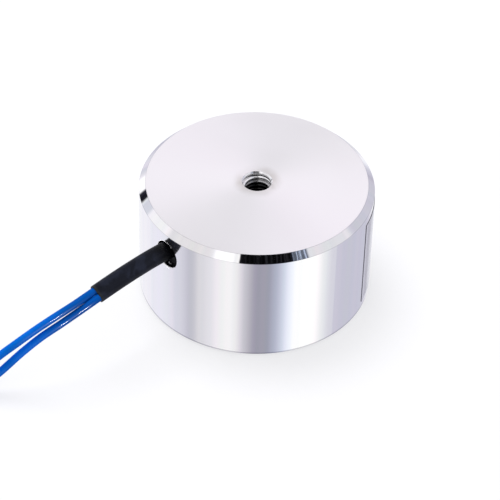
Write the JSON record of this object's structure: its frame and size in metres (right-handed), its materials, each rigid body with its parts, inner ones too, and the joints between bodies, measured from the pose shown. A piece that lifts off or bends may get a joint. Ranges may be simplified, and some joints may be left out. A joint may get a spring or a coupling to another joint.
{
  "type": "electromagnet",
  "caption": "Round pot-type holding electromagnet with a central threaded mounting hole, a flat holding face and a pair of insulated leads out of its side.",
  "frame": {"origin": "centre of the flat holding face that the magnet stands on", "axes": "+Z along the body's axis towards the mounting face with the threaded hole; -Y is the way the leads leave the side wall"},
  "size_m": [0.0601, 0.1102, 0.027],
  "materials": {
    "plated_steel": "bright nickel plate on turned steel",
    "bobbin_plastic": "moulded",
    "copper_wire": "enamelled copper wire",
    "winding_tape": "polyester film",
    "potting_resin": "cast resin",
    "solder_tin": "tinned copper",
    "joint_sleeve": "shrink film",
    "shrink_sleeve": "satin polyolefin",
    "lead_insulation": "blue vinyl",
    "label_film": "thin blank film"
  },
  "bodies": {
    "root": {"housing": "plated_steel", "coil_bobbin": "bobbin_plastic", "coil_winding": "copper_wire", "winding_tape": "winding_tape", "potting_resin": "potting_resin", "coil_start_tail": "copper_wire", "coil_finish_tail": "copper_wire", "solder_joint_a": "solder_tin", "solder_joint_b": "solder_tin", "joint_sleeve_a": "joint_sleeve", "joint_sleeve_b": "joint_sleeve", "exit_seal": "potting_resin", "lead_sleeve": "shrink_sleeve", "lead_a": "lead_insulation", "lead_b": "lead_insulation", "stored_lead_coil": "lead_insulation", "lead_a_strands": "solder_tin", "lead_b_strands": "solder_tin", "coil_tie": "shrink_sleeve", "blank_label": "label_film"}
  },
  "joints": []
}
